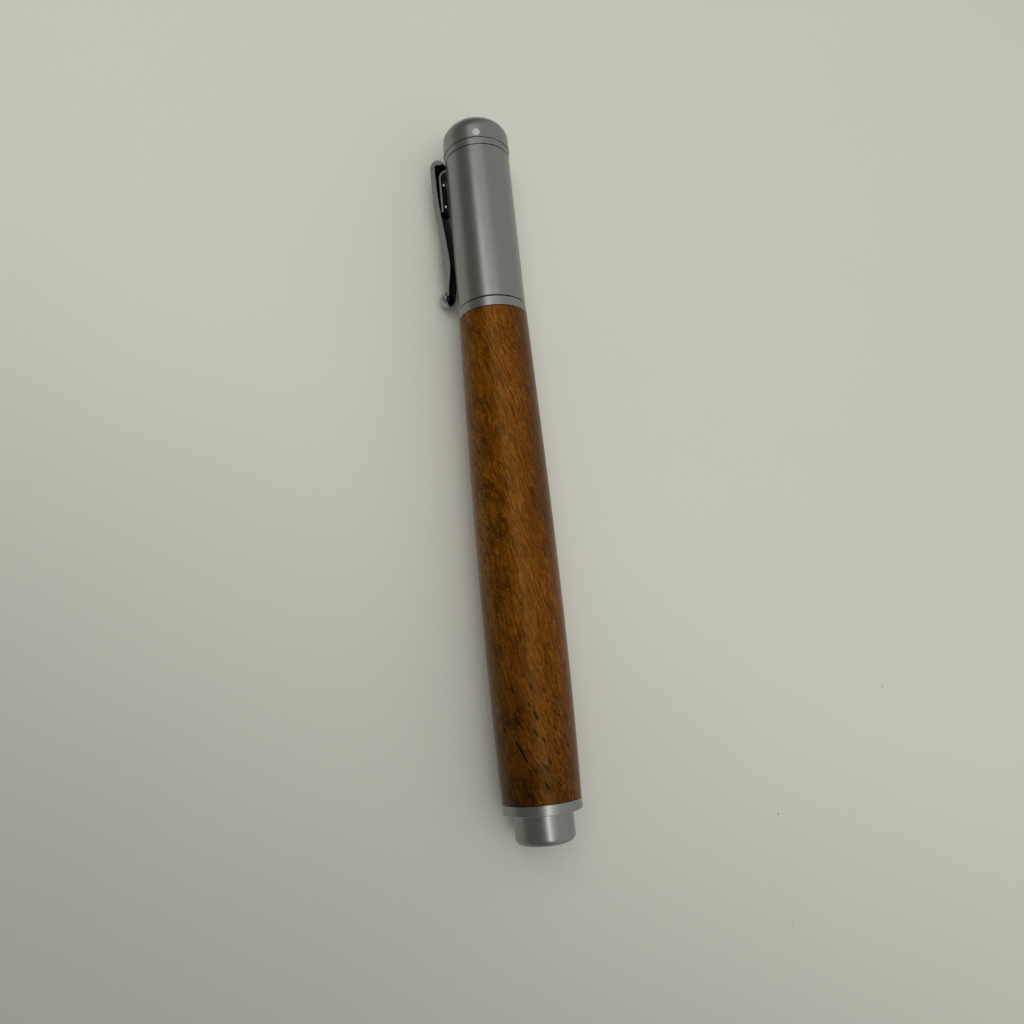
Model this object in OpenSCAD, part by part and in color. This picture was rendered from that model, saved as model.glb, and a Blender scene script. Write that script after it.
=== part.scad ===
// Capped rollerball pen: a turned wood barrel on a brass tube, metal end fittings,
// a magnetic cap with a riveted spring clip, and a screw-in grip section with a refill.
// The pen is drawn upright on local Z, stub end at 0, then laid along +Y on the floor.

/* [Lengths along the pen] */
// Length of the rear stub that the cap posts on
stub_len = 5.3; // [4.8:0.1:6]
// Length of the end ring behind the wood
end_ring_len = 1.7; // [1.2:0.1:2.5]
// Length of the turned wood
wood_len = 91.4; // [88:0.2:96]
// Length of the front ring between wood and cap
front_ring_len = 1.8; // [1.2:0.1:2.5]
// Length of the cap tube
cap_tube_len = 32.6; // [32:0.1:36]
// Length of the collar between cap tube and finial
collar_len = 1.5; // [1.2:0.1:2]
// Length of the finial
finial_len = 6.3; // [5.5:0.1:7.5]

/* [Diameters of the outside] */
// Diameter of the rear stub and of the spigot in the cap mouth
stub_d = 10.68; // [10.6:0.01:10.7]
// Diameter of the end ring
end_ring_d = 14.2; // [13.9:0.1:14.6]
// Diameter of the wood at its rear end
wood_rear_d = 14.1; // [13.7:0.1:14.5]
// Diameter of the wood at its front end
wood_front_d = 13.5; // [13.2:0.1:13.9]
// How far the wood swells from a straight taper, on the radius
wood_swell = 0.58; // [0.2:0.01:0.9]
// How much the swell leans towards the rear
wood_lean = 0.47; // [0:0.01:0.8]
// Diameter of the front ring
front_ring_d = 13.45; // [13.2:0.05:13.8]
// Diameter of the cap at its mouth
cap_mouth_d = 13.3; // [13.2:0.05:13.6]
// Diameter of the cap at its top
cap_top_d = 13.1; // [13:0.05:13.4]
// Diameter of the collar
collar_d = 13.2; // [13:0.05:13.4]
// Diameter of the finial
finial_d = 13.5; // [13.4:0.05:13.8]
// Radius that rounds the end of the finial
finial_round = 3.6; // [3:0.1:4]
// Radius that rounds the end of the stub
stub_round = 1.1; // [0.5:0.1:1.5]

/* [Barrel inside] */
// Outer diameter of the brass tube glued in the wood
tube_d = 10.5; // [10.4:0.05:10.6]
// Wall of the brass tube
tube_wall = 0.35; // [0.3:0.05:0.4]
// Depth that each coupler reaches into the brass tube
coupler_reach = 8; // [7:0.5:12]

/* [Grip section and refill] */
// Diameter of the grip section where it meets the spigot
grip_d = 9.2; // [9:0.1:9.3]
// Distance from the spigot face to the grip's nose
grip_len = 17.5; // [17:0.1:17.6]
// Diameter of the grip section's threaded shank
shank_d = 7.9; // [7.8:0.02:7.92]
// Length of the threaded shank
shank_len = 5.8; // [5.4:0.1:6]
// Diameter of the refill body
refill_d = 6; // [5.9:0.05:6]
// Overall length of the refill
refill_len = 110.5; // [110:0.1:110.5]
// Distance that the refill's point stands out of the nose
point_out = 2.6; // [2:0.1:2.6]
// Diameter of the writing ball
ball_d = 0.7; // [0.5:0.1:1]

/* [Clip] */
// Angle that the clip hangs below the horizontal when the pen lies down
clip_droop = 31; // [25:1:35]
// Radius from the pen's axis to the outer face of the clip
clip_out_r = 9.6; // [9.5:0.05:9.8]
// Width of the clip at its fold
clip_w = 5; // [4.6:0.1:5.2]
// Width of the clip just before its ball
clip_tip_w = 3.4; // [2.6:0.1:3.6]
// Diameter of the ball at the end of the clip
clip_ball_d = 3.2; // [3:0.1:3.4]
// Height of the ball's centre above the cap mouth
clip_ball_up = 4.8; // [4.6:0.05:5]
// Gap between the ball and the cap
clip_ball_gap = 1.15; // [0.9:0.05:1.3]
// Thickness of the spring leaf
leaf_t = 0.38; // [0.3:0.02:0.4]
// Width of the spring leaf
leaf_w = 3; // [2.6:0.1:3.1]

/* [Hidden] */
$fn = 96;

// Stations on local Z, from the stub end to the top of the finial
z_ring = stub_len;
z_wood = z_ring + end_ring_len;
z_front = z_wood + wood_len;
z_mouth = z_front + front_ring_len;
z_cap_top = z_mouth + cap_tube_len;
z_collar_top = z_cap_top + collar_len;
z_end = z_collar_top + finial_len;

// Fits
glue_gap = 0.02;
run_gap = 0.05;
mouth_gap = 0.25;
seam_w = 0.18;
fine_seam_w = 0.1;
seam_deep = 0.4;
edge = 0.08;

// Barrel
tube_r = tube_d / 2;
tube_in_r = tube_r - tube_wall;
sleeve_r = tube_in_r - glue_gap;
stub_r = stub_d / 2;
wood_steps = 28;
refill_way_r = 3.3;

// Spigot, its magnet and the thread for the grip section
z_spigot = z_mouth + stub_len;
magnet_t = 2;
neck_r = 4.45;
thread_r = shank_d / 2 + run_gap;
z_thread = z_spigot - shank_len - 0.3;

// Stub, its magnet and its stud
pocket_r = 4.2;
pocket_floor = 1.2;
z_magnet_top = pocket_floor + magnet_t;
z_stud_end = z_wood + 4;

// Cap inside
cap_bore_r = 5.7;
cap_fit_r = cap_bore_r - glue_gap;
liner_in_r = stub_r + run_gap;
cap_magnet_z = z_spigot + 0.5;
cap_magnet_len = 2.8;
cap_magnet_out_r = cap_bore_r - 2 * run_gap;
cap_magnet_in_r = 4.75;
sleeve_in_r = 5.3;
bush_len = 2.85;
z_bush = z_cap_top - bush_len;
stud_r = 1.7;
stud_hole_r = stud_r + glue_gap;
stud_top = z_collar_top + 3.2;
stud_slot = 0.5;
finial_step = 0.1;
finial_step_angle = 21;

// Refill
refill_r = refill_d / 2;
refill_wall = 0.35;
refill_in_r = refill_r - refill_wall;
z_nose = z_spigot + grip_len;
z_point = z_nose + point_out;
z_refill = z_point - refill_len;
z_shoulder = z_point - 13.6;
nose_r = 2.1;
z_nose_cone = z_point - 4.6;
needle_r = 1.15;
z_needle = z_point - 3.2;
socket_r = 0.5;
ball_r = ball_d / 2;
ball_gap = 0.02;
z_ball = z_point - ball_r;
z_lip = z_ball + 0.4 * ball_r;
plug_len = 6;
nose_tail = 5;
taper_len = 1.6;
taper_tip_len = 1.2;

// Grip section, in heights above the spigot face and below the nose
grip_r = grip_d / 2;
grip_waist_r = grip_r - 0.5;
grip_flange_len = 2;
grip_slope_len = 6;
grip_waist_len = 9;
grip_nose_len = 4.5;
grip_tip_len = 2.5;
grip_tip_r = grip_r - 0.9;
grip_face_r = 2.3;
nose_gap = 0.1;
groove_n = 3;
groove_deep = 0.2;
groove_w = 0.3;
groove_pitch = 1;
groove_first = 9.5;

// Spring behind the refill
wire_r = 0.3;
coil_r = 2.3;
coil_turns = 4;

// Clip, drawn in the plane of local X (outward) and Z, then turned to its place
clip_turn = 180 - clip_droop;
fold_r = 1.5;
fold_t = 1;
fold_end = 145;
fold_x = clip_out_r - fold_r;
fold_z = z_cap_top + 0.5;
fold_tail_x = cap_top_d / 2 + 0.29;
fold_tail = [[fold_tail_x, z_cap_top + 0.7]];
ball_r_clip = clip_ball_d / 2;
ball_x = cap_mouth_d / 2 + clip_ball_gap + ball_r_clip;
ball_z = z_mouth + clip_ball_up;
full_w_z = z_cap_top - 4;
arm_outer = [
    [clip_out_r, full_w_z],
    [clip_out_r - 0.05, z_cap_top - 7.5],
    [clip_out_r - 0.24, z_cap_top - 11],
    [clip_out_r - 0.5, z_cap_top - 14],
    [clip_out_r - 0.6, z_cap_top - 17.5],
    [clip_out_r - 0.58, z_cap_top - 21],
    [clip_out_r - 0.66, z_cap_top - 23.6],
    [clip_out_r - 0.95, z_cap_top - 25.6],
    [clip_out_r - 0.9, ball_z]
];
arm_inner = [
    [clip_out_r - fold_t, full_w_z],
    [clip_out_r - 1.12, z_cap_top - 8],
    [clip_out_r - 1.45, z_cap_top - 11],
    [clip_out_r - 1.8, z_cap_top - 14.6],
    [clip_out_r - 2.06, z_cap_top - 17.8],
    [clip_out_r - 2.24, z_cap_top - 20.7],
    [clip_out_r - 2.14, z_cap_top - 22.6],
    [clip_out_r - 1.82, z_cap_top - 24.5],
    [clip_out_r - 1.5, z_cap_top - 26.2],
    [clip_out_r - 1.3, ball_z]
];
arm_reach = 20;
slot_deep = 0.55;
slot_w = leaf_w + 0.2;
slot_in = 1;
leaf_in_x = 5;
leaf_foot = 0.8;
leaf_x = 8.05;
leaf_bend_r = 1.3;
leaf_end_z = z_cap_top - 9.2;
leaf_top_z = z_cap_top - slot_deep / 2;
foot_gap = 0.2;
foot_pocket = 1.2;
foot_pocket_r = 2;
pad_w = 2.4;
pad_t = 0.9;
pad_end_z = leaf_end_z - 0.2;
pad_top_z = z_cap_top - 1.6;
rivet_r = 0.35;
rivet_head_r = 0.5;
rivet_out_r = 9.1;
rivet_z = [z_cap_top - 2.5, z_cap_top - 7.5];

// Dot on the finial, turned away from the clip
dot_turn = clip_turn + 113;
dot_r = 0.75;
dot_deep = 0.6;
dot_proud = 0.02;
dot_z = z_collar_top + 1.1;

// Place of the pen's axis above the floor, with the bounding box centred on the origin
function wood_r(t) =
    wood_rear_d / 2 + (wood_front_d - wood_rear_d) / 2 * t
    + 4 * t * (1 - t) * (wood_swell - wood_lean * (t - 0.5));
axis_h = max([for (i = [0:wood_steps]) wood_r(i / wood_steps)]);
clip_reach = max(
    clip_out_r * cos(clip_droop) + clip_w / 2 * sin(clip_droop),
    ball_x * cos(clip_droop) + ball_r_clip
);
axis_x = (clip_reach - axis_h) / 2;

metal = [0.62, 0.62, 0.60];
bright = [0.78, 0.78, 0.77];
wood_colour = [0.58, 0.33, 0.13];
brass = [0.80, 0.66, 0.34];
nickel = [0.70, 0.70, 0.72];
plastic = [0.12, 0.12, 0.13];
enamel = [0.92, 0.92, 0.90];

// Lays the upright pen along +Y, clip side down to its rest
module lay() {
    translate([axis_x, -z_end / 2, axis_h])
        rotate([-90, 0, 0])
            children();
}

// Draws a flat outline of radius against height as a turned solid
module turned(points) {
    rotate_extrude()
        polygon(points);
}

// A plain ring or sleeve between two heights
module ring(outer, inner, low, high) {
    turned([[inner, low], [outer, low], [outer, high], [inner, high]]);
}

// A plain rod between two heights
module rod(radius, low, high) {
    translate([0, 0, low])
        cylinder(r = radius, h = high - low);
}

// Turns a shape that faces local +X to the clip's side
module on_clip_side() {
    rotate([0, 0, clip_turn])
        children();
}

// Gives a flat outline in X and Z a width across Y
module wide(width) {
    rotate([90, 0, 0])
        linear_extrude(height = width, center = true)
            children();
}

// Points of a quarter round from the side to the end, its centre at x, z
function round_points(x, z, radius, from, to, steps = 10) =
    [for (i = [0:steps]) let (a = from + (to - from) * i / steps)
        [x + radius * cos(a), z + radius * sin(a)]];

// A smooth curve through the points, with a few steps between each pair
function curve(points, steps = 5) =
    let (last = len(points) - 1)
    [
        for (i = [0:last - 1])
            let (a = points[max(i - 1, 0)])
            let (b = points[i])
            let (c = points[i + 1])
            let (d = points[min(i + 2, last)])
            for (j = [0:steps - 1])
                let (t = j / steps)
                b + ((c - a) * t + (2 * a - 5 * b + 4 * c - d) * t * t
                    + (3 * b - 3 * c + d - a) * t * t * t) / 2,
        points[last]
    ];

// The same points from last to first
function backwards(points) = [for (i = [len(points) - 1:-1:0]) points[i]];

module wood_barrel() {
    bore = tube_r + glue_gap;
    outline = concat(
        [[bore, z_wood]],
        [for (i = [0:wood_steps])
            [wood_r(i / wood_steps), z_wood + wood_len * i / wood_steps]],
        [[bore, z_front]]
    );
    color(wood_colour)
        lay() turned(outline);
}

module barrel_tube() {
    color(brass)
        lay() ring(tube_r, tube_in_r, z_wood + glue_gap, z_front - glue_gap);
}

module front_coupler() {
    back = z_front - coupler_reach;
    neck_z = z_spigot - magnet_t;
    ring_r = front_ring_d / 2;
    color(metal)
        lay() turned([
            [refill_way_r, back],
            [sleeve_r, back],
            [sleeve_r, z_front],
            [ring_r, z_front],
            [ring_r, z_mouth - edge],
            [ring_r - edge, z_mouth],
            [stub_r, z_mouth],
            [stub_r, neck_z],
            [neck_r, neck_z],
            [neck_r, z_spigot],
            [thread_r, z_spigot],
            [thread_r, z_thread],
            [refill_way_r, z_thread]
        ]);
}

module front_magnet() {
    color(nickel)
        lay() ring(stub_r - glue_gap, neck_r + glue_gap, z_spigot - magnet_t, z_spigot);
}

module rear_coupler() {
    ring_r = end_ring_d / 2;
    color(metal)
        lay() turned([
            [refill_way_r, z_ring],
            [ring_r - edge, z_ring],
            [ring_r, z_ring + edge],
            [ring_r, z_wood],
            [sleeve_r, z_wood],
            [sleeve_r, z_wood + coupler_reach],
            [refill_way_r, z_wood + coupler_reach]
        ]);
}

module rear_stub() {
    outline = concat(
        [[0, 0]],
        round_points(stub_r - stub_round, stub_round, stub_round, -90, 0),
        [[stub_r, z_ring], [pocket_r, z_ring], [pocket_r, pocket_floor], [0, pocket_floor]]
    );
    color(metal)
        lay() turned(outline);
}

module rear_magnet() {
    color(nickel)
        lay() rod(pocket_r - glue_gap, pocket_floor, z_magnet_top);
}

module stub_stud() {
    color(bright)
        lay() {
            rod(pocket_r - glue_gap, z_magnet_top, z_ring);
            rod(refill_way_r - glue_gap, z_ring, z_stud_end);
        }
}

module refill_spring() {
    around = 6;
    steps = coil_turns * 20;
    low = z_stud_end + wire_r + glue_gap;
    high = z_refill - wire_r - glue_gap;
    points = [
        for (i = [0:steps])
            for (j = [0:around - 1])
                let (a = 360 * coil_turns * i / steps)
                let (b = 360 * j / around)
                let (x = coil_r + wire_r * cos(b))
                [x * cos(a), x * sin(a), low + (high - low) * i / steps + wire_r * sin(b)]
    ];
    sides = [
        for (i = [0:steps - 1])
            for (j = [0:around - 1])
                let (k = (j + 1) % around)
                [i * around + j, (i + 1) * around + j, (i + 1) * around + k, i * around + k]
    ];
    start = [for (j = [0:around - 1]) j];
    finish = [for (j = [around - 1:-1:0]) steps * around + j];
    color(bright)
        lay() polyhedron(points, concat(sides, [start], [finish]));
}

module cap_tube() {
    low = z_mouth + mouth_gap;
    mouth_r = cap_mouth_d / 2;
    color(metal)
        lay() difference() {
            turned([
                [cap_bore_r, low],
                [mouth_r - edge, low],
                [mouth_r, low + edge],
                [cap_top_d / 2, z_cap_top],
                [cap_bore_r, z_cap_top]
            ]);
            on_clip_side()
                translate([cap_bore_r - slot_in, -slot_w / 2, z_cap_top - slot_deep])
                    cube([3 * slot_in, slot_w, 2 * slot_deep]);
        }
}

module cap_liner() {
    color(brass)
        lay() ring(cap_fit_r, liner_in_r, z_mouth + 0.3, cap_magnet_z - run_gap);
}

module cap_magnet() {
    color(nickel)
        lay() ring(cap_magnet_out_r, cap_magnet_in_r, cap_magnet_z, cap_magnet_z + cap_magnet_len);
}

module cap_sleeve() {
    low = cap_magnet_z + cap_magnet_len + run_gap;
    color(plastic)
        lay() ring(cap_fit_r, sleeve_in_r, low, z_bush);
}

module cap_bush() {
    color(brass)
        lay() difference() {
            ring(cap_fit_r, stud_hole_r, z_bush, z_cap_top);
            on_clip_side()
                translate([leaf_in_x - foot_gap, -slot_w / 2, z_cap_top - slot_deep - foot_pocket])
                    cube([foot_pocket_r, slot_w, 2 * foot_pocket]);
        }
}

module clip_collar() {
    color(metal)
        lay() turned([
            [stud_hole_r, z_cap_top],
            [collar_d / 2 - seam_deep, z_cap_top],
            [collar_d / 2 - seam_deep, z_cap_top + seam_w],
            [collar_d / 2, z_cap_top + seam_w],
            [collar_d / 2, z_collar_top],
            [stud_hole_r, z_collar_top]
        ]);
}

module finial() {
    side_r = finial_d / 2;
    seam_z = z_collar_top + fine_seam_w;
    round_x = side_r - finial_round - finial_step;
    round_z = z_end - finial_round;
    top = concat(
        [
            [stud_hole_r, z_collar_top],
            [side_r - seam_deep, z_collar_top],
            [side_r - seam_deep, seam_z],
            [side_r - edge, seam_z],
            [side_r, seam_z + edge]
        ],
        round_points(round_x, round_z, finial_round + finial_step, 0, finial_step_angle, 6),
        round_points(round_x, round_z, finial_round, finial_step_angle, 90),
        [[0, z_end], [0, stud_top + glue_gap], [stud_hole_r, stud_top + glue_gap]]
    );
    color(metal)
        lay() difference() {
            turned(top);
            dot_peg(dot_r + glue_gap, side_r - dot_deep - glue_gap);
        }
}

module finial_stud() {
    color(bright)
        lay() difference() {
            rod(stud_r, z_bush, stud_top);
            translate([-2 * stud_r, -stud_slot / 2, z_bush - stud_slot])
                cube([4 * stud_r, stud_slot, 2 * stud_slot]);
        }
}

// A short peg that points outward through the finial's side
module dot_peg(radius, low) {
    rotate([0, 0, dot_turn])
        translate([low, 0, dot_z])
            rotate([0, 90, 0])
                cylinder(r = radius, h = 3 * dot_deep, $fn = 48);
}

module finial_dot() {
    side_r = finial_d / 2;
    color(enamel)
        lay() intersection() {
            dot_peg(dot_r, side_r - dot_deep);
            rod(side_r + dot_proud, dot_z - 2 * dot_r, dot_z + 2 * dot_r);
        }
}

module clip_arm() {
    outline = concat(
        round_points(fold_x, fold_z, fold_r, 0, fold_end, 16),
        fold_tail,
        round_points(fold_x, fold_z, fold_r - fold_t, fold_end, 0, 16),
        curve(arm_inner),
        backwards(curve(arm_outer))
    );
    color(metal)
        lay() on_clip_side() difference() {
            union() {
                intersection() {
                    wide(clip_w) polygon(outline);
                    rotate([90, 0, 90])
                        linear_extrude(height = arm_reach)
                            polygon([
                                [-clip_tip_w / 2, ball_z],
                                [clip_tip_w / 2, ball_z],
                                [clip_w / 2, full_w_z],
                                [clip_w / 2, z_end],
                                [-clip_w / 2, z_end],
                                [-clip_w / 2, full_w_z]
                            ]);
                }
                translate([leaf_x + leaf_t / 2 + glue_gap, -pad_w / 2, pad_end_z])
                    cube([pad_t, pad_w, pad_top_z - pad_end_z]);
                translate([ball_x, 0, ball_z])
                    sphere(r = ball_r_clip);
            }
            rivet_shanks(rivet_r + glue_gap, rivet_out_r + run_gap);
        }
}

module clip_leaf() {
    half = leaf_t / 2;
    bend_x = leaf_x - leaf_bend_r;
    bend_z = leaf_top_z - leaf_bend_r;
    outline = concat(
        [[leaf_in_x, leaf_top_z + half]],
        round_points(bend_x, bend_z, leaf_bend_r + half, 90, 0),
        [[leaf_x + half, leaf_end_z], [leaf_x - half, leaf_end_z]],
        round_points(bend_x, bend_z, leaf_bend_r - half, 0, 90),
        [
            [leaf_in_x + leaf_t, leaf_top_z - half],
            [leaf_in_x + leaf_t, leaf_top_z - leaf_foot],
            [leaf_in_x, leaf_top_z - leaf_foot]
        ]
    );
    color(bright)
        lay() on_clip_side() difference() {
            wide(leaf_w) polygon(outline);
            rivet_shanks(rivet_r + glue_gap, rivet_out_r + run_gap);
        }
}

// The two rivet shanks, out to the stated radius from the pen's axis
module rivet_shanks(radius, reach) {
    for (z = rivet_z)
        translate([leaf_x - leaf_t, 0, z])
            rotate([0, 90, 0])
                cylinder(r = radius, h = reach - leaf_x + leaf_t, $fn = 32);
}

module clip_rivets() {
    seat_x = leaf_x - leaf_t / 2;
    color(bright)
        lay() on_clip_side() {
            for (z = rivet_z)
                translate([seat_x, 0, z])
                    rotate([0, -90, 0])
                        turned(concat([[0, 0]], round_points(0, 0, rivet_head_r, 0, 90, 6)));
            intersection() {
                rivet_shanks(rivet_r, rivet_out_r);
                translate([seat_x, -clip_w / 2, leaf_end_z])
                    cube([clip_w, clip_w, z_end - leaf_end_z]);
            }
        }
}

module grip_section() {
    shank_z = z_spigot - shank_len;
    flange_z = z_spigot + run_gap;
    bore_r = refill_r + run_gap;
    step_z = z_shoulder + run_gap;
    color(metal)
        lay() difference() {
            turned([
                [bore_r, shank_z],
                [shank_d / 2, shank_z],
                [shank_d / 2, flange_z],
                [grip_r, flange_z],
                [grip_r, z_spigot + grip_flange_len],
                [(grip_r + 2 * grip_waist_r) / 3, z_spigot + grip_slope_len],
                [grip_waist_r, z_spigot + grip_waist_len],
                [grip_waist_r, z_nose - grip_nose_len],
                [grip_tip_r, z_nose - grip_tip_len],
                [grip_face_r, z_nose],
                [needle_r + nose_gap, z_nose],
                [needle_r + nose_gap, z_nose_cone + taper_len + 3 * nose_gap],
                [nose_r + nose_gap, z_nose_cone + nose_gap],
                [nose_r + nose_gap, step_z],
                [bore_r, step_z]
            ]);
            for (i = [0:groove_n - 1])
                let (low = z_spigot + groove_first + groove_pitch * i)
                ring(grip_r, grip_waist_r - groove_deep, low, low + groove_w);
        }
}

module refill_tube() {
    color(plastic)
        lay() ring(refill_r, refill_in_r, z_refill, z_shoulder);
}

module refill_plug() {
    color(plastic)
        lay() rod(refill_in_r - glue_gap, z_refill, z_refill + plug_len);
}

module refill_nose() {
    color(bright)
        lay() difference() {
            turned([
                [0, z_shoulder - nose_tail],
                [refill_in_r - glue_gap, z_shoulder - nose_tail],
                [refill_in_r - glue_gap, z_shoulder],
                [nose_r, z_shoulder],
                [nose_r, z_nose_cone],
                [needle_r, z_nose_cone + taper_len],
                [needle_r, z_needle + taper_tip_len],
                [socket_r, z_lip],
                [0, z_lip]
            ]);
            translate([0, 0, z_ball])
                sphere(r = ball_r + ball_gap);
        }
}

module writing_ball() {
    color(bright)
        lay() translate([0, 0, z_ball])
            sphere(r = ball_r, $fn = 48);
}

wood_barrel();
barrel_tube();
front_coupler();
front_magnet();
rear_coupler();
rear_stub();
stub_stud();
rear_magnet();
refill_spring();
cap_tube();
cap_liner();
cap_sleeve();
cap_bush();
cap_magnet();
clip_collar();
finial();
finial_stud();
finial_dot();
clip_arm();
clip_leaf();
clip_rivets();
grip_section();
refill_tube();
refill_nose();
refill_plug();
writing_ball();
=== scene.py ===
"""A capped rollerball pen with a turned wood barrel and satin metal fittings, on a pale table."""

import math

import bpy
import numpy as np
from mathutils import Matrix, Vector


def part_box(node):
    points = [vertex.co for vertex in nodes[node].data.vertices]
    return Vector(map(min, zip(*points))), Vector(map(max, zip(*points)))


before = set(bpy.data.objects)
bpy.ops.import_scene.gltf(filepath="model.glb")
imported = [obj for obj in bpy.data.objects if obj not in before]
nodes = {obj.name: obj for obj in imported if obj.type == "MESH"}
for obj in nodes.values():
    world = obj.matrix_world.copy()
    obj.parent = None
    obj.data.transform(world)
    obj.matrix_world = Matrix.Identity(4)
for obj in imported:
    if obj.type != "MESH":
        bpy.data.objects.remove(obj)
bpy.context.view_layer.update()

MM = 0.001

# The view frame: the pen's axis lies along +Y, and the camera looks down at it, leaning
# from straight up towards the clip's side. The clip hangs CLIP_TURN below across.
VIEW_LEAN = math.radians(11)
CLIP_TURN = math.radians(20)
cap_lo, cap_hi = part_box("cap_tube")
wood_lo, wood_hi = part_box("wood_barrel")
AXIS = Vector(((cap_lo.x + cap_hi.x) / 2, 0, (cap_lo.z + cap_hi.z) / 2))
Y_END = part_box("rear_stub")[0].y
WOOD_REAR, WOOD_FRONT = ((y - Y_END) / MM for y in (wood_lo.y, wood_hi.y))
SIDE = Vector((math.cos(VIEW_LEAN), 0, math.sin(VIEW_LEAN)))
ALONG = Vector((0, 1, 0))
FACE = Vector((-math.sin(VIEW_LEAN), 0, math.cos(VIEW_LEAN)))


def at(side_mm, along_mm, face_mm):
    """A point given in mm across, along from the stub end, and out towards the viewer."""
    base = Vector((AXIS.x, Y_END, AXIS.z))
    return base + (SIDE * side_mm + ALONG * along_mm + FACE * face_mm) * MM


# ---------------------------------------------------------------- node helpers
class Graph:
    """Short calls that add and link the nodes of one material."""

    def __init__(self, name):
        self.material = bpy.data.materials.new(name)
        self.material.use_nodes = True
        self.tree = self.material.node_tree
        self.tree.nodes.clear()
        surface = self.tree.nodes.new("ShaderNodeOutputMaterial")
        self.shader = self.tree.nodes.new("ShaderNodeBsdfPrincipled")
        self.tree.links.new(self.shader.outputs[0], surface.inputs[0])
        self.mm = None

    def put(self, socket, value):
        """Links or sets one input."""
        if isinstance(value, bpy.types.NodeSocket):
            self.tree.links.new(value, socket)
        elif value is not None:
            if hasattr(socket.default_value, "__len__") and not hasattr(value, "__len__"):
                value = (value,) * len(socket.default_value)
            if socket.type == "RGBA" and len(value) == 3:
                value = (*value, 1)
            socket.default_value = value

    def math(self, operation, a, b=None, c=None):
        """One scalar sum."""
        node = self.tree.nodes.new("ShaderNodeMath")
        node.operation = operation
        for socket, value in zip(node.inputs, (a, b, c)):
            self.put(socket, value)
        return node.outputs[0]

    def add(self, a, b):
        return self.math("ADD", a, b)

    def sub(self, a, b):
        return self.math("SUBTRACT", a, b)

    def mul(self, a, b):
        return self.math("MULTIPLY", a, b)

    def mul_add(self, a, b, c):
        """a times b, plus c."""
        return self.math("MULTIPLY_ADD", a, b, c)

    def least(self, a, b):
        return self.math("MINIMUM", a, b)

    def most(self, a, b):
        return self.math("MAXIMUM", a, b)

    def gap(self, a, b):
        """How far apart two numbers are."""
        return self.math("ABSOLUTE", self.sub(a, b))

    def centred(self, value, size):
        """Spreads 0 to 1 over -size/2 to size/2."""
        return self.mul(self.sub(value, 0.5), size)

    def vector(self, operation, a, b=None, scale=None):
        """One vector sum."""
        node = self.tree.nodes.new("ShaderNodeVectorMath")
        node.operation = operation
        self.put(node.inputs[0], a)
        self.put(node.inputs[1], b)
        if scale is not None:
            self.put(node.inputs["Scale"], scale)
        return node.outputs["Value" if operation in ("DOT_PRODUCT", "DISTANCE") else "Vector"]

    def join(self, x, y, z):
        """A vector from three numbers."""
        node = self.tree.nodes.new("ShaderNodeCombineXYZ")
        for socket, value in zip(node.inputs, (x, y, z)):
            self.put(socket, value)
        return node.outputs[0]

    def split(self, vector):
        """The three numbers of a vector."""
        node = self.tree.nodes.new("ShaderNodeSeparateXYZ")
        self.put(node.inputs[0], vector)
        return node.outputs[0], node.outputs[1], node.outputs[2]

    def noise(self, vector, scale=1.0, detail=2.0, rough=0.5, distort=0.0):
        """Fractal noise from 0 to 1; scale is in cycles per unit of the vector."""
        node = self.tree.nodes.new("ShaderNodeTexNoise")
        self.put(node.inputs["Vector"], vector)
        self.put(node.inputs["Scale"], scale)
        self.put(node.inputs["Detail"], detail)
        self.put(node.inputs["Roughness"], rough)
        self.put(node.inputs["Distortion"], distort)
        return node.outputs["Fac"]

    def stretched(self, vector, scales, detail=2.0, rough=0.5):
        """Noise with its own scale on each axis."""
        return self.noise(self.vector("MULTIPLY", vector, scales), 1.0, detail, rough)

    def cells(self, vector):
        """Distance to the nearest cell centre, and the cell's random colour."""
        node = self.tree.nodes.new("ShaderNodeTexVoronoi")
        self.put(node.inputs["Vector"], vector)
        self.put(node.inputs["Scale"], 1.0)
        return node.outputs["Distance"], node.outputs["Color"]

    def ramp(self, value, low, high, to_low=0.0, to_high=1.0, smooth=True):
        """Maps low..high onto to_low..to_high, held at both ends."""
        node = self.tree.nodes.new("ShaderNodeMapRange")
        node.interpolation_type = "SMOOTHSTEP" if smooth else "LINEAR"
        node.clamp = True
        for socket, number in zip(node.inputs, (value, low, high, to_low, to_high)):
            self.put(socket, number)
        return node.outputs[0]

    def mix(self, share, a, b):
        """Mixes two colours."""
        node = self.tree.nodes.new("ShaderNodeMix")
        node.data_type = "RGBA"
        node.clamp_factor = True
        self.put(node.inputs[0], share)
        self.put(node.inputs[6], a)
        self.put(node.inputs[7], b)
        return node.outputs[2]

    def stain(self, base, mask, strength, colour):
        """Lays a colour over the base where the mask is."""
        return self.mix(self.mul(mask, strength), base, colour)

    def stops(self, value, stops):
        """A colour ramp."""
        node = self.tree.nodes.new("ShaderNodeValToRGB")
        ramp = node.color_ramp
        while len(ramp.elements) < len(stops):
            ramp.elements.new(0.5)
        for element, (place, colour) in zip(ramp.elements, stops):
            element.position = place
            element.color = (*colour, 1)
        self.put(node.inputs[0], value)
        return node.outputs[0]

    def bump(self, height, strength, distance, normal=None):
        """Turns a height from 0 to 1 into a normal; distance is its full depth in metres."""
        node = self.tree.nodes.new("ShaderNodeBump")
        node.inputs["Strength"].default_value = strength
        node.inputs["Distance"].default_value = distance
        self.put(node.inputs["Height"], height)
        if normal is not None:
            self.put(node.inputs["Normal"], normal)
        return node.outputs[0]

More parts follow.
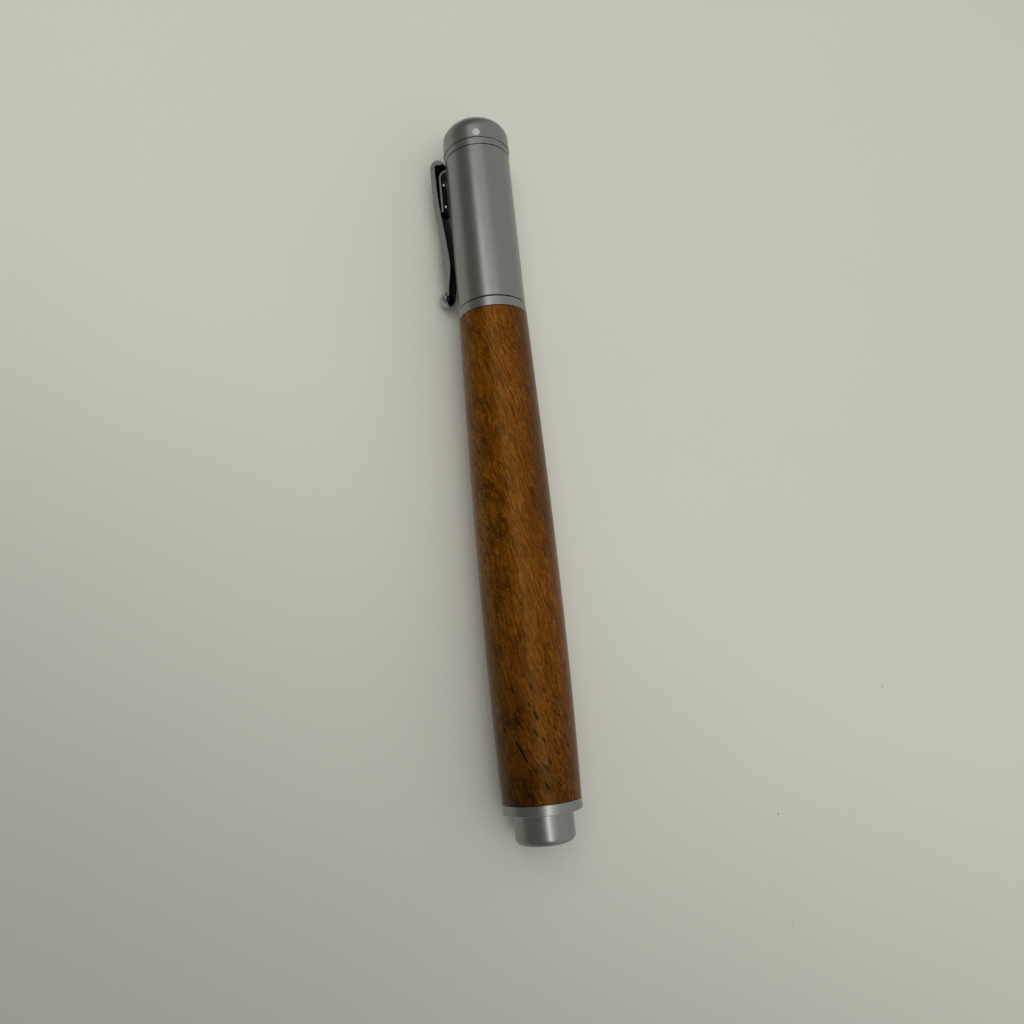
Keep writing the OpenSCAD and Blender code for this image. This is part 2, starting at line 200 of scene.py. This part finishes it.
    def pen_mm(self):
        """Place in mm in the pen's frame: across, along from the stub end, out to the viewer."""
        if self.mm is None:
            coordinates = self.tree.nodes.new("ShaderNodeTexCoord")
            place = self.vector(
                "SUBTRACT", coordinates.outputs["Object"], (AXIS.x, Y_END, AXIS.z)
            )
            place = self.vector("SCALE", place, scale=1 / MM)
            self.mm = self.join(
                self.vector("DOT_PRODUCT", place, tuple(SIDE)),
                self.split(place)[1],
                self.vector("DOT_PRODUCT", place, tuple(FACE)),
            )
        return self.mm

    def clip_mm(self):
        """Place in mm in the clip's frame: out from the pen's axis, along, across the clip."""
        across, along, out = self.split(self.pen_mm())
        far, near = math.cos(CLIP_TURN), math.sin(CLIP_TURN)
        away = self.mul_add(out, -near, self.mul(across, -far))
        width = self.mul_add(out, far, self.mul(across, -near))
        return away, along, width

    def set(self, **sockets):
        """Sets the shader's inputs by name, with _ for a space."""
        for name, value in sockets.items():
            self.put(self.shader.inputs[name.replace("_", " ")], value)


def srgb(red, green, blue):
    """A linear colour from 0-255 screen values."""
    def one(value):
        value /= 255
        return value / 12.92 if value <= 0.04045 else ((value + 0.055) / 1.055) ** 2.4

    return one(red), one(green), one(blue)


# ---------------------------------------------------------------- materials
# Turned edges of the metal parts, in mm along the pen, where plating wears
RIMS = (0.9, 5.35, 6.95, 98.5, 100.1, 100.4, 132.75, 133.0, 134.25, 134.42, 138.5)
# The step round the finial's dome, where a painted shade line is drawn
DOME_LINE = 138.29
FAR_MM = 9.0  # the start of a search for the nearest mark: farther than any mark reaches
FINE_RELIEF = 0.00001  # depth in metres of tooth and turning lines
WARMTH = 0.985  # blue against red and green in satin metal


def satin_metal(name, grey, roughness):
    """Satin plating: a fine blasted tooth, faint turning lines, handling marks, worn edges, and a
    painted shade line round the finial's dome.
    """
    g = Graph(name)
    place = g.pen_mm()
    _, along, _ = g.split(place)
    tooth = g.noise(place, scale=14.0, detail=2.0, rough=0.6)
    lines = g.noise(g.join(0.0, along, 0.0), scale=9.0, detail=3.0, rough=0.7)
    cloud = g.noise(place, scale=0.35, detail=3.0, rough=0.55)
    marks = g.noise(place, scale=1.3, detail=4.0, rough=0.62, distort=0.4)
    marks = g.ramp(marks, 0.56, 0.72)

    away = FAR_MM
    for rim in RIMS:
        away = g.least(away, g.gap(along, rim))
    rubs = g.ramp(g.noise(place, scale=0.9, detail=3.0, rough=0.6), 0.42, 0.6)
    worn = g.mul(g.ramp(away, 0.16, 0.02), rubs)
    # Painted shade: a dark line at the dome's step, standing in for the shade that falls in the
    # step
    painted_dome_shade = g.ramp(g.gap(along, DOME_LINE), 0.14, 0.04)

    rough = g.add(roughness - 0.05, g.mul(tooth, 0.08))
    rough = g.add(rough, g.centred(cloud, 0.1))
    rough = g.add(rough, g.mul(marks, 0.025))
    rough = g.mul_add(worn, -0.06, rough)
    shade = g.add(0.965, g.mul(cloud, 0.05))
    shade = g.add(shade, g.centred(lines, 0.05))
    shade = g.sub(shade, g.mul(marks, 0.02))
    shade = g.mul_add(worn, 0.22, shade)
    shade = g.mul_add(painted_dome_shade, -0.6, shade)

    blasted = g.bump(tooth, strength=0.25, distance=FINE_RELIEF)
    g.set(
        Base_Color=g.vector("SCALE", (grey, grey, grey * WARMTH), scale=shade),
        Metallic=1.0,
        Roughness=rough,
        Normal=g.bump(lines, strength=0.12, distance=FINE_RELIEF, normal=blasted),
    )
    return g.material


CLIP_SATIN = (0.46, 0.46, 0.453)
CLIP_WORN = (0.74, 0.74, 0.73)
# Near-black painted on the clip's inner faces as painted shade
CLIP_PAINTED_SHADE = (0.012, 0.012, 0.014)


def clip_metal(name, outer_mm, half_mm, painted_shade_below):
    """Satin clip metal with painted shade on the inner face, near-black and polished, worn bright
    along the edges.

    outer_mm is the outer face's distance from the pen's axis, half_mm gives two places along
    the pen with half the piece's width there, and the last argument is where the painted shade
    ends.
    """
    g = Graph(name)
    away, along, width = g.clip_mm()
    place = g.pen_mm()
    tooth = g.noise(place, scale=12.0, detail=2.0, rough=0.6)
    cloud = g.noise(place, scale=0.5, detail=3.0, rough=0.55)
    rubs = g.stretched(place, (6.0, 0.7, 6.0), detail=3.0, rough=0.6)

    (start, start_half), (end, end_half) = half_mm
    half = g.ramp(along, start, end, start_half, end_half, smooth=False)
    inset = g.sub(half, g.math("ABSOLUTE", width))
    depth = g.sub(outer_mm, away)
    # Painted shade: the inner face, turned towards the cap, is painted near-black and glossy,
    # standing in for its shade and the dark it mirrors
    painted_shade = g.mul(g.ramp(inset, 0.04, 0.16), g.ramp(depth, 0.45, 0.6))
    painted_shade = g.mul(painted_shade, g.ramp(along, painted_shade_below + 0.5, painted_shade_below - 0.3))
    worn = g.mul(g.ramp(inset, 0.2, 0.0), g.ramp(rubs, 0.35, 0.65, 0.4, 1.0))

    satin = g.vector("SCALE", CLIP_SATIN, scale=g.mul_add(cloud, 0.12, 0.94))
    colour = g.stain(satin, worn, 0.7, CLIP_WORN)
    colour = g.mix(painted_shade, colour, CLIP_PAINTED_SHADE)
    rough = g.mul_add(tooth, 0.08, 0.26)
    rough = g.mul_add(painted_shade, -0.16, rough)
    g.set(
        Base_Color=colour,
        Metallic=1.0,
        Roughness=rough,
        Normal=g.bump(tooth, strength=0.12, distance=FINE_RELIEF),
    )
    return g.material


# The wood's ground colour from the clip's side to the other, and what is laid over it
WOOD_ZONES = (
    (0.00, srgb(128, 80, 8)),
    (0.25, srgb(134, 80, 4)),
    (0.40, srgb(140, 80, 8)),
    (0.52, srgb(150, 88, 28)),
    (0.66, srgb(142, 80, 12)),
    (0.80, srgb(132, 72, 4)),
    (1.00, srgb(108, 58, 4)),
)
PATCH = srgb(86, 42, 1)
GOLDEN = srgb(164, 102, 16)
STREAK = srgb(74, 34, 1)
FIBRE = srgb(84, 42, 1)
FLECK = srgb(184, 124, 46)
SPECK = srgb(72, 36, 1)
PORE = srgb(26, 10, 1)
BLOTCH = srgb(46, 18, 1)
JOINT = srgb(34, 16, 6)

GRAIN_LEAN = math.radians(14)
ZONE_WIDTH = 16  # mm across the pen that the colour zones span
STREAK_APART = 0.8  # mm

# Pores in the rear third: mm across, mm along, and size against an ordinary one
DASHES = (
    (-3.28, 26.6, 1.0), (0.05, 26.8, 0.9), (2.24, 26.0, 0.8), (-0.6, 23.8, 0.8),
    (0.4, 21.8, 1.25), (-2.92, 21.5, 1.1), (-5.2, 19.9, 1.1), (0.1, 19.0, 1.1),
    (1.35, 17.7, 0.8), (3.75, 22.1, 0.8), (3.45, 19.5, 0.9), (3.5, 15.3, 0.8),
    (5.4, 16.2, 0.7), (2.0, 14.2, 1.0), (1.5, 12.9, 0.9), (-1.45, 12.4, 1.0),
    (1.2, 10.0, 1.1), (3.3, 10.2, 0.9), (-2.3, 9.2, 1.2), (-3.05, 17.0, 1.55),
    (-2.6, 16.1, 1.7), (-2.15, 15.1, 1.55), (4.3, 24.6, 0.65), (3.6, 23.6, 0.55),
    (5.1, 23.0, 0.6), (4.5, 21.4, 0.7), (5.6, 20.9, 0.55), (4.4, 18.7, 0.6),
    (2.6, 24.1, 0.5), (5.0, 17.8, 0.6), (2.6, 20.6, 0.55), (3.1, 17.4, 0.6),
)
DASH_LEAN = math.radians(23)
DASH_WIDE, DASH_LONG = 0.17, 0.75  # half sizes of an ordinary one, in mm


def dash_mask(g, across, along, out, ragged_by):
    """The pores of DASHES, with ragged edges, on the side that faces up."""
    turn_cos, turn_sin = math.cos(DASH_LEAN), math.sin(DASH_LEAN)
    spot = g.join(
        g.add(g.mul(across, turn_cos / DASH_WIDE), g.mul(along, turn_sin / DASH_WIDE)),
        g.sub(g.mul(along, turn_cos / DASH_LONG), g.mul(across, turn_sin / DASH_LONG)),
        0.0,
    )
    nearest = FAR_MM
    for x, y, size in DASHES:
        centre = (
            (x * turn_cos + y * turn_sin) / DASH_WIDE,
            (y * turn_cos - x * turn_sin) / DASH_LONG,
            0,
        )
        away = g.vector("DISTANCE", spot, centre)
        nearest = g.least(nearest, g.mul(away, 1 / size))
    ragged = g.mul_add(ragged_by, 1.0, g.sub(nearest, 0.5))
    return g.mul(g.ramp(ragged, 1.15, 0.75), g.ramp(out, 0.0, 1.0))


def wood(name):
    """Oiled hardwood with slanting interlocked grain: a solid pattern, cut by the turning."""
    g = Graph(name)
    place = g.pen_mm()
    across, along, out = g.split(place)

    # A frame along the fibres, which lean from the axis and waver
    bend = g.centred(g.stretched(place, (0.10, 0.05, 0.10)), 5.5)
    ripple = g.centred(g.stretched(place, (0.45, 0.33, 0.45), detail=1.0), 1.3)
    sway = g.add(bend, ripple)
    cross = g.mul_add(across, math.cos(GRAIN_LEAN), sway)
    cross = g.add(cross, g.mul(along, math.sin(GRAIN_LEAN)))
    run = g.sub(g.mul(along, math.cos(GRAIN_LEAN)), g.mul(across, math.sin(GRAIN_LEAN)))
    fibre = g.join(cross, run, g.mul_add(sway, 0.6, out))

    # Colour zones: golden-olive on the left, pinkish in the middle, golden on the right
    drift = g.add(across, bend)
    zone = g.mul_add(drift, 1 / ZONE_WIDTH, 0.5)
    base = g.stops(zone, WOOD_ZONES)

    # Darker mottled patches, strongest on the left, and lighter golden ones
    left = g.ramp(zone, 0.34, 0.50, 1.0, 0.45)
    patch = g.ramp(g.stretched(fibre, (0.42, 0.20, 0.36), detail=4.0, rough=0.62), 0.46, 0.66)
    base = g.stain(base, g.mul(patch, left), 0.95, PATCH)
    golden = g.ramp(g.stretched(fibre, (0.75, 0.32, 0.6), detail=3.0, rough=0.6), 0.54, 0.72)
    base = g.stain(base, golden, 0.5, GOLDEN)

    # Wavy dark streaks, broken up along their length
    wander = g.centred(g.stretched(fibre, (0.40, 0.10, 0.35)), 2.2)
    phase = g.mul_add(cross, 1 / STREAK_APART, wander)
    comb = g.math("SINE", g.mul(phase, math.tau))
    broken = g.ramp(g.stretched(fibre, (0.6, 0.18, 0.6)), 0.36, 0.62)
    streak = g.mul(g.ramp(comb, 0.15, 1.0), broken)
    base = g.stain(base, streak, 0.72, STREAK)

    # Fine fibres and short flecks
    fine = g.stretched(fibre, (5.0, 0.55, 5.0), detail=3.0, rough=0.6)
    base = g.mix(g.ramp(fine, 0.46, 0.68, 0.0, 0.55), base, FIBRE)
    fleck = g.ramp(g.stretched(fibre, (3.2, 1.1, 3.2), rough=0.6), 0.58, 0.70)
    base = g.stain(base, fleck, 0.5, FLECK)
    speck = g.ramp(g.stretched(fibre, (2.6, 0.9, 2.6), rough=0.6), 0.40, 0.30)
    base = g.stain(base, g.mul(speck, left), 0.6, SPECK)

    # Open pores: short dark dashes along the fibres, thick and many near the rear end
    def pores(size, length, radius, keep):
        cell = (1 / size, 1 / length, 1 / size)
        distance, colour = g.cells(g.vector("MULTIPLY", fibre, cell))
        reach = g.ramp(g.split(colour)[0], keep, 1.0, 0.0, radius, smooth=False)
        return g.ramp(g.sub(distance, reach), 0.0, -0.09)

    small = g.mul(pores(size=0.6, length=3.4, radius=0.2, keep=0.62), 0.6)
    large = pores(size=0.95, length=3.6, radius=0.22, keep=0.15)
    pore = g.most(small, g.mul(large, g.ramp(along, 34.0, 24.0)))
    pore = g.most(pore, dash_mask(g, across, along, out, ragged_by=fine))
    base = g.stain(base, pore, 0.96, PORE)

    # The end by the rear ring is darker and blotched
    blotch = g.ramp(g.stretched(place, (1.1, 0.28, 1.1), detail=3.0, rough=0.6), 0.36, 0.62)
    base = g.stain(base, g.mul(g.ramp(along, 16.0, 7.5), blotch), 0.8, BLOTCH)

    # The wood darkens slowly towards the rear, and on the far side of the front half
    rear_shade = g.mul(g.ramp(along, 52.0, 6.0), g.ramp(drift, 4.0, -2.0, 0.4, 1.0))
    front_shade = g.mul(g.ramp(along, 44.0, 62.0), g.ramp(drift, 2.0, 5.5))
    shade = g.mul_add(rear_shade, -0.5, 1.0)
    shade = g.mul_add(front_shade, -0.38, shade)
    silk = g.stretched(fibre, (2.4, 0.30, 2.4), detail=4.0, rough=0.66)
    shade = g.mul(shade, g.ramp(silk, 0.34, 0.66, 0.56, 1.08))
    base = g.vector("SCALE", base, scale=shade)

    # A thin dark joint where the wood meets each ring
    from_end = g.least(g.sub(along, WOOD_REAR), g.sub(WOOD_FRONT, along))
    base = g.mix(g.ramp(from_end, 0.3, 0.08), base, JOINT)

    rough = g.mul_add(fine, 0.12, 0.24)
    rough = g.add(rough, g.mul(pore, 0.3))
    height = g.sub(0.5, g.mul(fine, 0.3))
    height = g.sub(height, g.mul(pore, 0.5))
    height = g.sub(height, g.mul(streak, 0.15))
    g.set(
        Base_Color=base,
        Roughness=rough,
        Normal=g.bump(height, strength=0.6, distance=0.00005),
        Specular_IOR_Level=0.26,
        Specular_Tint=(1.0, 0.66, 0.24, 1.0),
    )
    return g.material


def plain_metal(name, colour, roughness, streaks):
    """Machined or drawn metal: turning lines along the axis and uneven polish."""
    g = Graph(name)
    place = g.pen_mm()
    _, along, _ = g.split(place)
    lines = g.noise(g.join(0.0, along, 0.0), scale=streaks, detail=3.0, rough=0.7)
    cloud = g.noise(place, scale=0.8, detail=4.0, rough=0.6)
    rough = g.mul_add(lines, 0.14, roughness - 0.07)
    g.set(
        Base_Color=g.vector("SCALE", colour, scale=g.add(0.9, g.mul(cloud, 0.16))),
        Metallic=1.0,
        Roughness=g.add(rough, g.centred(cloud, 0.12)),
        Normal=g.bump(lines, strength=0.25, distance=FINE_RELIEF),
    )
    return g.material


def moulded(name, colour, roughness):
    """Moulded plastic or enamel with a faint orange-peel and uneven colour."""
    g = Graph(name)
    place = g.pen_mm()
    peel = g.noise(place, scale=3.5, detail=3.0, rough=0.5)
    cloud = g.noise(place, scale=0.6, detail=3.0, rough=0.6)
    g.set(
        Base_Color=g.vector("SCALE", colour, scale=g.add(0.92, g.mul(cloud, 0.14))),
        Roughness=g.mul_add(peel, 0.1, roughness - 0.05),
        Normal=g.bump(peel, strength=0.15, distance=0.00002),
        Specular_IOR_Level=0.5,
    )
    return g.material


SATIN = satin_metal("satin_metal", grey=0.280, roughness=0.34)
SATIN_REAR = satin_metal("satin_metal_rear", grey=0.295, roughness=0.27)
CLIP_ARM = clip_metal(
    "clip_arm_metal", outer_mm=9.55, half_mm=((105.0, 1.7), (128.8, 2.5)), painted_shade_below=140.0
)
CLIP_LEAF = clip_metal(
    "clip_leaf_metal", outer_mm=9.1, half_mm=((105.0, 1.5), (128.8, 1.5)), painted_shade_below=130.9
)
WOOD = wood("turned_wood")
BRASS = plain_metal("brass", (0.74, 0.55, 0.25), roughness=0.30, streaks=7.0)
NICKEL = plain_metal("nickel_magnet", (0.60, 0.60, 0.61), roughness=0.22, streaks=3.0)
STEEL = plain_metal("bright_steel", (0.62, 0.62, 0.63), roughness=0.20, streaks=11.0)
PLASTIC = moulded("dark_plastic", (0.018, 0.018, 0.02), roughness=0.42)
REFILL = moulded("refill_plastic", (0.05, 0.052, 0.056), roughness=0.34)
ENAMEL = moulded("pale_enamel", (0.74, 0.74, 0.70), roughness=0.35)

FINISH = {
    SATIN: ("cap_tube", "clip_collar", "finial", "front_coupler", "grip_section"),
    SATIN_REAR: ("rear_coupler", "rear_stub"),
    CLIP_ARM: ("clip_arm",),
    CLIP_LEAF: ("clip_leaf",),
    WOOD: ("wood_barrel",),
    BRASS: ("barrel_tube", "cap_liner", "cap_bush"),
    NICKEL: ("front_magnet", "rear_magnet", "cap_magnet"),
    STEEL: ("stub_stud", "refill_spring", "finial_stud", "clip_rivets",
            "refill_nose", "writing_ball"),
    PLASTIC: ("cap_sleeve", "refill_plug"),
    REFILL: ("refill_tube",),
    ENAMEL: ("finial_dot",),
}
for material, names in FINISH.items():
    for name in names:
        mesh = nodes[name].data
        for index in range(len(mesh.materials)):
            mesh.materials[index] = material

# ---------------------------------------------------------------- floor
FLOOR_HALF = 1.6
FLOOR_STEPS = 8
FLOOR_COLOUR = (0.94, 0.94, 0.87)


def floor_material():
    """Pale paper: a faint tooth and cloud, a few specks, and a painted shadow that darkens it
    towards the near left.
    """
    g = Graph("table_top")
    place = g.pen_mm()
    across, along, _ = g.split(place)
    cloud = g.noise(place, scale=0.02, detail=4.0, rough=0.6)
    tooth = g.noise(place, scale=1.2, detail=4.0, rough=0.6)
    shade = g.add(g.add(g.mul(cloud, 0.04), g.mul(tooth, 0.03)), 0.965)
    # Painted shadow: the floor's colour is darkened towards the near left, standing in for a
    # broad shadow falling from that side
    painted_shadow_ramp = g.mul_add(across, 0.35, g.mul(along, 0.5))
    shade = g.mul(shade, g.ramp(painted_shadow_ramp, -45.0, 40.0, 0.60, 1.0))
    distance, colour = g.cells(g.vector("SCALE", place, scale=0.11))
    radius = g.ramp(g.split(colour)[0], 0.5, 1.0, 0.0, 0.035, smooth=False)
    speck = g.ramp(g.sub(distance, radius), 0.004, -0.004)
    shade = g.mul_add(speck, -0.35, shade)
    g.set(
        Base_Color=g.vector("SCALE", FLOOR_COLOUR, scale=shade),
        Roughness=0.7,
        Normal=g.bump(tooth, strength=0.25, distance=0.0001),
        Specular_IOR_Level=0.25,
    )
    return g.material


def make_floor():
    """A wide flat tabletop."""
    ticks = np.linspace(-FLOOR_HALF, FLOOR_HALF, FLOOR_STEPS + 1)
    points = [(x, y, 0.0) for y in ticks for x in ticks]
    row = FLOOR_STEPS + 1
    faces = [
        (j * row + i, j * row + i + 1, (j + 1) * row + i + 1, (j + 1) * row + i)
        for j in range(FLOOR_STEPS)
        for i in range(FLOOR_STEPS)
    ]
    mesh = bpy.data.meshes.new("table_top")
    mesh.from_pydata(points, [], faces)
    mesh.materials.append(floor_material())
    floor = bpy.data.objects.new("table_top", mesh)
    bpy.context.scene.collection.objects.link(floor)


make_floor()

# ---------------------------------------------------------------- lights
MIDDLE = at(0, 70, 0)
LIGHT_TINT = (1.0, 1.0, 0.94)
LIGHT_SPIN = math.radians(31)


def make_world(low, high):
    """A soft room: dim on the clip's side and brighter on the other."""
    world = bpy.data.worlds.new("studio")
    world.use_nodes = True
    tree = world.node_tree
    backdrop = tree.nodes["Background"]
    backdrop.inputs[0].default_value = (*LIGHT_TINT, 1)
    direction = tree.nodes.new("ShaderNodeTexCoord").outputs["Generated"]
    lean = tree.nodes.new("ShaderNodeVectorMath")
    lean.operation = "DOT_PRODUCT"
    lean.inputs[1].default_value = SIDE
    tree.links.new(direction, lean.inputs[0])
    level = tree.nodes.new("ShaderNodeMapRange")
    level.interpolation_type = "SMOOTHSTEP"
    for socket, value in zip(level.inputs[1:5], (-0.3, 0.8, low, high)):
        socket.default_value = value
    tree.links.new(lean.outputs["Value"], level.inputs[0])
    tree.links.new(level.outputs[0], backdrop.inputs[1])
    bpy.context.scene.world = world


def softbox(name, place, width, length, radiance):
    """A rectangular soft light that faces the middle of the pen, turned by LIGHT_SPIN."""
    light = bpy.data.lights.new(name, "AREA")
    light.shape = "RECTANGLE"
    light.size = width
    light.size_y = length
    light.color = LIGHT_TINT
    light.energy = radiance * width * length * math.pi
    lamp = bpy.data.objects.new(name, light)
    bpy.context.scene.collection.objects.link(lamp)
    outward = (place - MIDDLE).normalized()
    up = (ALONG - outward * ALONG.dot(outward)).normalized()
    turn = Matrix((up.cross(outward), up, outward)).transposed().to_4x4()
    lamp.matrix_world = Matrix.Translation(place) @ turn @ Matrix.Rotation(LIGHT_SPIN, 4, "Z")


make_world(low=0.18, high=0.55)
softbox("strip", at(43, 127, 600), width=0.08, length=0.96, radiance=2.3)
softbox("overhead", at(126, 195, 600), width=0.48, length=0.90, radiance=0.55)

# ---------------------------------------------------------------- camera
FOCAL_MM = 29.303
SENSOR_MM = 36.0
ROLL, TILT, PAN = 0.101, -0.196, 0.002
CAMERA_SIDE, CAMERA_ALONG, CAMERA_OUT = -0.447, 28.542, 154.6


def make_camera():
    """The camera above the pen, placed and turned in the view frame."""
    data = bpy.data.cameras.new("camera")
    data.lens = FOCAL_MM
    data.sensor_width = SENSOR_MM
    data.clip_start = 0.005
    data.clip_end = 20
    camera = bpy.data.objects.new("camera", data)
    bpy.context.scene.collection.objects.link(camera)
    roll = Matrix.Rotation(ROLL, 3, "Z")
    tilt = Matrix.Rotation(TILT, 3, "X")
    pan = Matrix.Rotation(PAN, 3, "Y")
    pen = Matrix((SIDE, ALONG, FACE)).transposed()
    turn = (pen @ (roll @ tilt @ pan).transposed()).to_4x4()
    place = at(CAMERA_SIDE, CAMERA_ALONG, CAMERA_OUT)
    camera.matrix_world = Matrix.Translation(place) @ turn
    bpy.context.scene.camera = camera


make_camera()

bpy.context.scene.view_settings.view_transform = "Standard"
